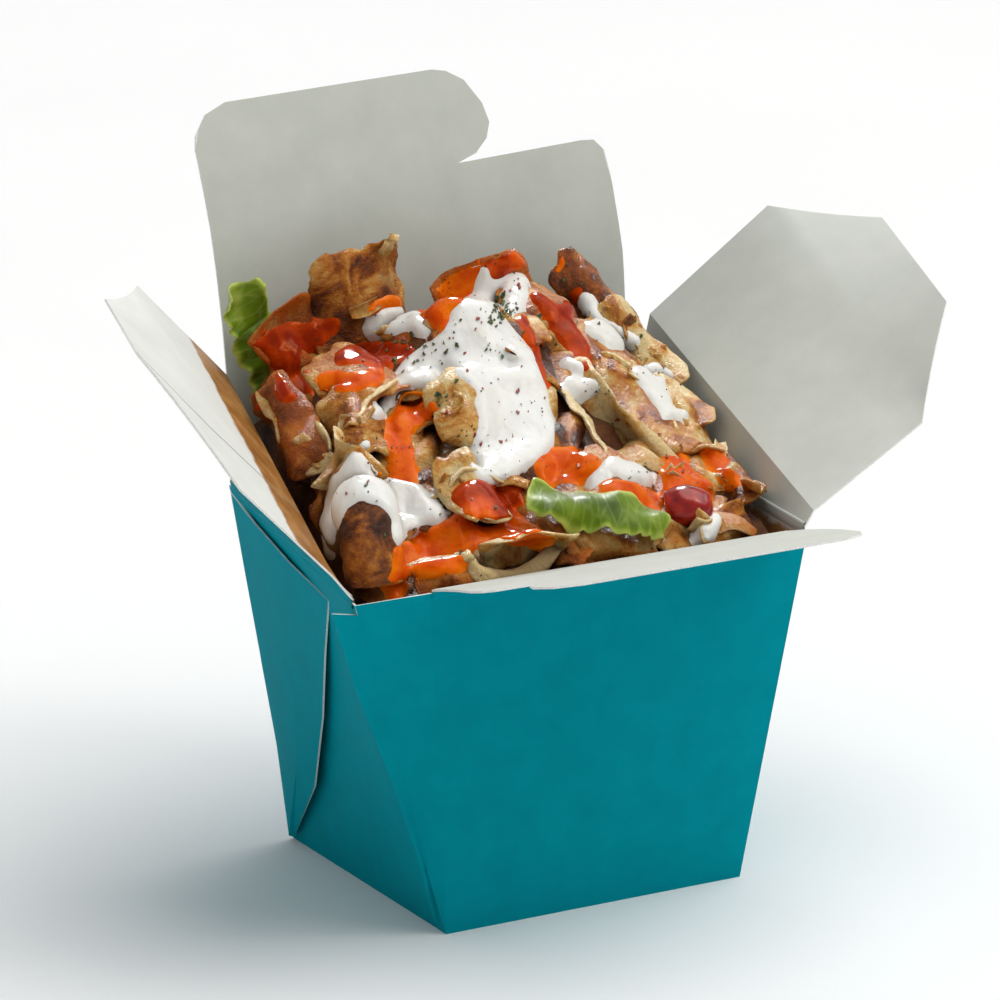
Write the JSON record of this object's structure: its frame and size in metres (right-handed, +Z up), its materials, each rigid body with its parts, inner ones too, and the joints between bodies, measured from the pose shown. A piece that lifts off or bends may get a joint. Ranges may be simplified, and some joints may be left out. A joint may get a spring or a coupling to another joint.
{
  "type": "takeaway carton of sliced kebab meat with sauces",
  "caption": "Open square card takeaway carton with hinged flaps, heaped with sliced meat, white and chilli sauce, lettuce and tomato.",
  "frame": {"origin": "middle of the carton's underside", "axes": "X to the right along the front panel, Y to the back, Z up"},
  "size_m": [0.231, 0.1665, 0.1825],
  "materials": {
    "card": "printed outside, white inside",
    "meat": null,
    "lettuce": null,
    "tomato": null
  },
  "bodies": {
    "box": {"carton": "card", "food_heap": "meat", "lettuce_left": "lettuce", "lettuce_front": "lettuce", "tomato": "tomato"},
    "back_lid": {"back_flap": "card"},
    "front_lid": {"front_flap": "card"},
    "left_lid": {"left_flap": "card"},
    "right_lid": {"right_flap": "card"}
  },
  "joints": [
    {"name": "back_crease", "type": "hinge", "parent": "box", "child": "back_lid", "pos_m": [0.005, 0.0517, 0.0902], "axis": [1, 0, 0], "range_deg": [-40, 3]},
    {"name": "front_crease", "type": "hinge", "parent": "box", "child": "front_lid", "pos_m": [-0.003, -0.0516, 0.0904], "axis": [1, 0, 0], "range_deg": [-12, 45]},
    {"name": "left_crease", "type": "hinge", "parent": "box", "child": "left_lid", "pos_m": [-0.06025, 0.0022, 0.08955], "axis": [0.1746, 0.9845, 0.015], "range_deg": [-30, 0]},
    {"name": "right_crease", "type": "hinge", "parent": "box", "child": "right_lid", "pos_m": [0.0565, 0, 0.0903], "axis": [0.093, 0.9957, 0], "range_deg": [0, 25]}
  ]
}
